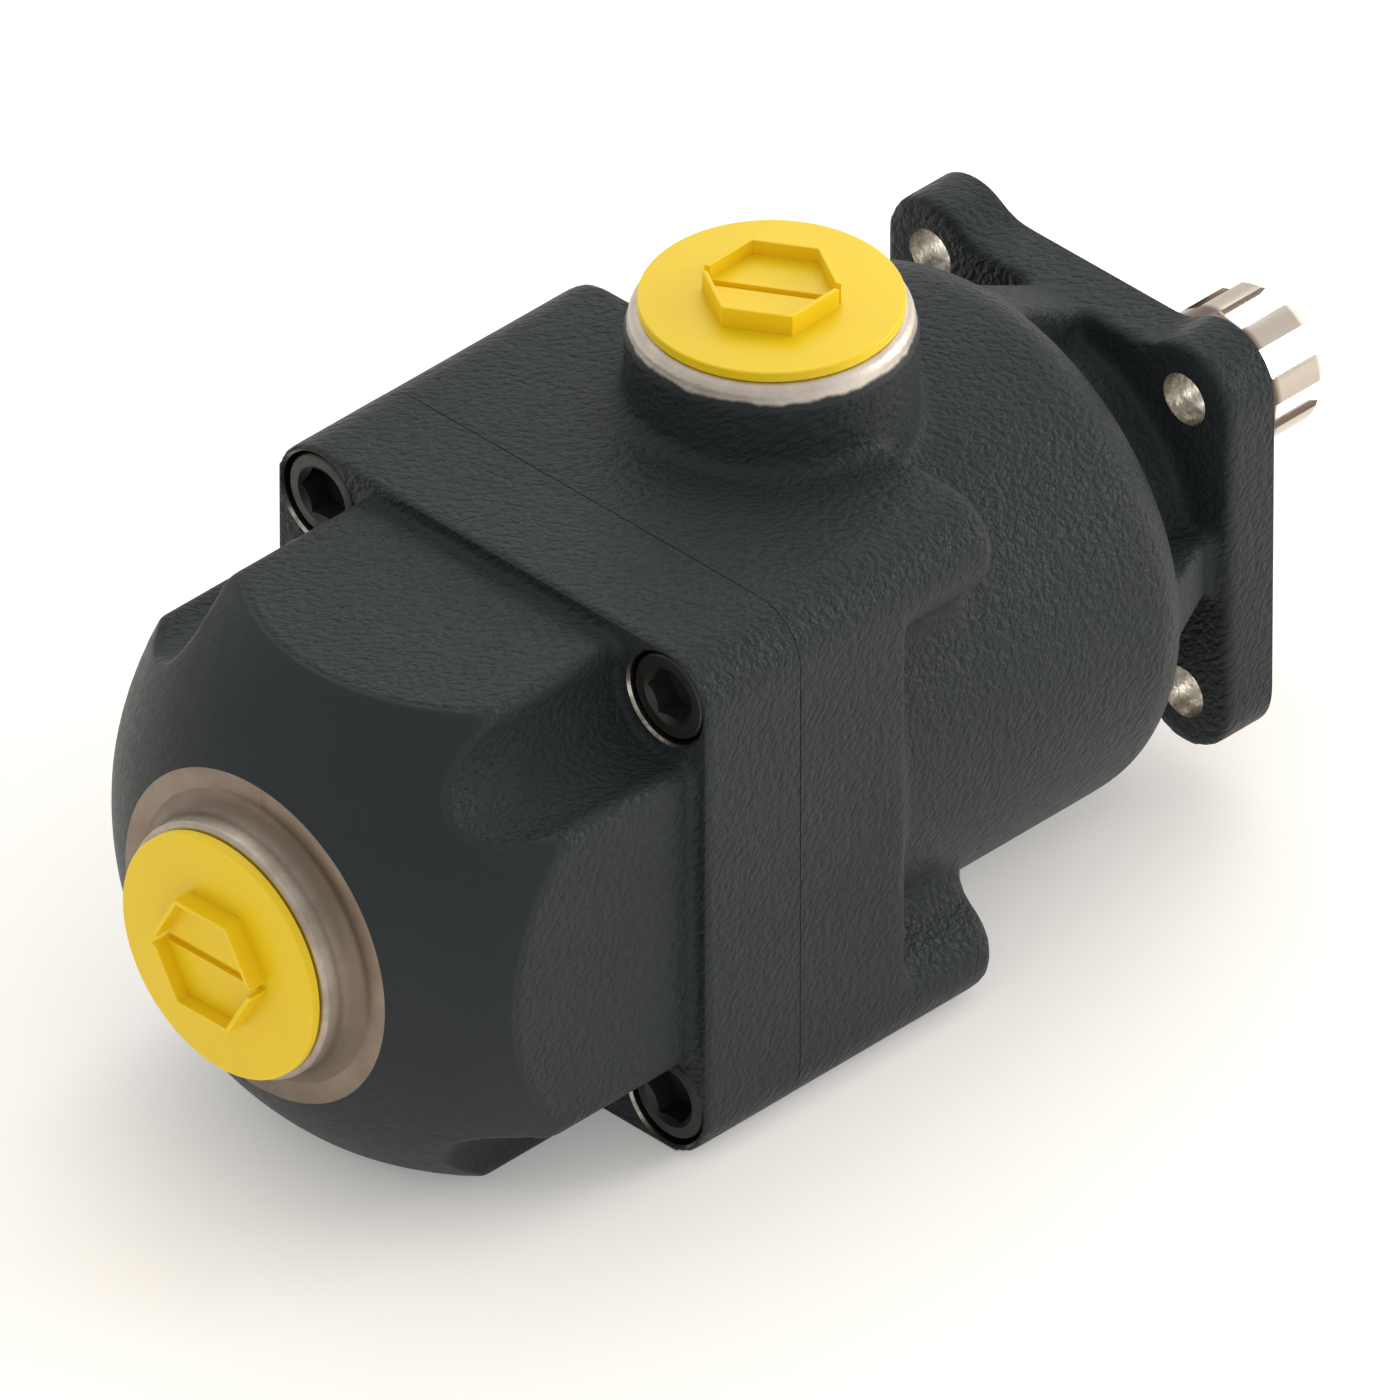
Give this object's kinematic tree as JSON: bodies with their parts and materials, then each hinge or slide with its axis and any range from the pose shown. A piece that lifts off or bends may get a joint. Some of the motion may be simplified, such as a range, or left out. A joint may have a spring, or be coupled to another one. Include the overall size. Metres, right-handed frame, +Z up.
{
  "type": "hydraulic axial piston pump",
  "caption": "Fixed displacement axial piston pump with a four-hole flange, splined drive shaft, domed rear cover and plugged inlet and outlet ports.",
  "frame": {"origin": "centre of the mounting flange's front face, on the shaft's axis", "axes": "+Y along the shaft towards its splined end, +Z up through the inlet port, +X to the side"},
  "size_m": [0.135, 0.339, 0.1656],
  "materials": {
    "casting": "fine leathery cast paint",
    "black_steel": "black oxide",
    "rubber": "satin",
    "yellow_plastic": "satin gloss",
    "shaft_steel": "ground",
    "bright_steel": "ground",
    "block_iron": "machined",
    "bronze": "machined"
  },
  "bodies": {
    "housing": {"pump_housing": "casting", "rear_cover": "casting", "cover_screws": "black_steel", "cover_seal": "rubber", "shaft_seal": "rubber", "seal_circlip": "black_steel", "front_bearing_outer": "bright_steel", "thrust_washer_fixed": "bright_steel", "cylinder_block": "block_iron", "tail_bush": "bronze", "valve_plate": "block_iron", "valve_cage": "block_iron", "piston_1": "bright_steel", "piston_2": "bright_steel", "piston_3": "bright_steel", "piston_4": "bright_steel", "piston_5": "bright_steel", "piston_6": "bright_steel", "piston_7": "bright_steel", "slipper_1": "bronze", "slipper_2": "bronze", "slipper_3": "bronze", "slipper_4": "bronze", "slipper_5": "bronze", "slipper_6": "bronze", "slipper_7": "bronze", "piston_spring_1": "bright_steel", "piston_spring_2": "bright_steel", "piston_spring_3": "bright_steel", "piston_spring_4": "bright_steel", "piston_spring_5": "bright_steel", "piston_spring_6": "bright_steel", "piston_spring_7": "bright_steel", "valve_spring_1": "bright_steel", "valve_spring_2": "bright_steel", "valve_spring_3": "bright_steel", "valve_spring_4": "bright_steel", "valve_spring_5": "bright_steel", "valve_spring_6": "bright_steel", "valve_spring_7": "bright_steel"},
    "rotor": {"drive_shaft": "shaft_steel", "front_bearing_inner": "bright_steel", "thrust_washer_shaft": "bright_steel"},
    "ball_set": {"front_bearing_balls": "bright_steel", "front_bearing_cage": "bronze"},
    "roller_set": {"thrust_rollers": "bright_steel", "thrust_cage": "bronze"},
    "inlet_plug": {"inlet_plug": "yellow_plastic", "inlet_plug_seal": "rubber"},
    "outlet_plug": {"outlet_plug": "yellow_plastic", "outlet_plug_seal": "rubber"},
    "poppet_1": {"poppet_1": "bright_steel"},
    "poppet_2": {"poppet_2": "bright_steel"},
    "poppet_3": {"poppet_3": "bright_steel"},
    "poppet_4": {"poppet_4": "bright_steel"},
    "poppet_5": {"poppet_5": "bright_steel"},
    "poppet_6": {"poppet_6": "bright_steel"},
    "poppet_7": {"poppet_7": "bright_steel"}
  },
  "joints": [
    {"name": "shaft_spin", "type": "hinge", "parent": "housing", "child": "rotor", "pos_m": [0, 0, 0], "axis": [0, 1, 0], "continuous": true},
    {"name": "ball_cage_spin", "type": "hinge", "parent": "housing", "child": "ball_set", "pos_m": [0, 0, 0], "axis": [0, 1, 0], "continuous": true},
    {"name": "roller_cage_spin", "type": "hinge", "parent": "housing", "child": "roller_set", "pos_m": [0, 0, 0], "axis": [0, 1, 0], "continuous": true},
    {"name": "inlet_plug_out", "type": "slide", "parent": "housing", "child": "inlet_plug", "axis": [0, 0, 1], "range_m": [0, 0.03]},
    {"name": "outlet_plug_out", "type": "slide", "parent": "housing", "child": "outlet_plug", "axis": [0, -1, 0], "range_m": [0, 0.03]},
    {"name": "poppet_1_lift", "type": "slide", "parent": "housing", "child": "poppet_1", "axis": [0, -1, 0], "range_m": [0, 0.0025], "stiffness_N_per_m": 800, "springref_m": -0.001, "deforming": ["valve_spring_1"]},
    {"name": "poppet_2_lift", "type": "slide", "parent": "housing", "child": "poppet_2", "axis": [0, -1, 0], "range_m": [0, 0.0025], "stiffness_N_per_m": 800, "springref_m": -0.001, "deforming": ["valve_spring_2"]},
    {"name": "poppet_3_lift", "type": "slide", "parent": "housing", "child": "poppet_3", "axis": [0, -1, 0], "range_m": [0, 0.0025], "stiffness_N_per_m": 800, "springref_m": -0.001, "deforming": ["valve_spring_3"]},
    {"name": "poppet_4_lift", "type": "slide", "parent": "housing", "child": "poppet_4", "axis": [0, -1, 0], "range_m": [0, 0.0025], "stiffness_N_per_m": 800, "springref_m": -0.001, "deforming": ["valve_spring_4"]},
    {"name": "poppet_5_lift", "type": "slide", "parent": "housing", "child": "poppet_5", "axis": [0, -1, 0], "range_m": [0, 0.0025], "stiffness_N_per_m": 800, "springref_m": -0.001, "deforming": ["valve_spring_5"]},
    {"name": "poppet_6_lift", "type": "slide", "parent": "housing", "child": "poppet_6", "axis": [0, -1, 0], "range_m": [0, 0.0025], "stiffness_N_per_m": 800, "springref_m": -0.001, "deforming": ["valve_spring_6"]},
    {"name": "poppet_7_lift", "type": "slide", "parent": "housing", "child": "poppet_7", "axis": [0, -1, 0], "range_m": [0, 0.0025], "stiffness_N_per_m": 800, "springref_m": -0.001, "deforming": ["valve_spring_7"]}
  ],
  "couplings": [
    {"joint": "ball_cage_spin", "follows": "shaft_spin", "ratio": 0.4},
    {"joint": "roller_cage_spin", "follows": "shaft_spin", "ratio": 0.5}
  ]
}
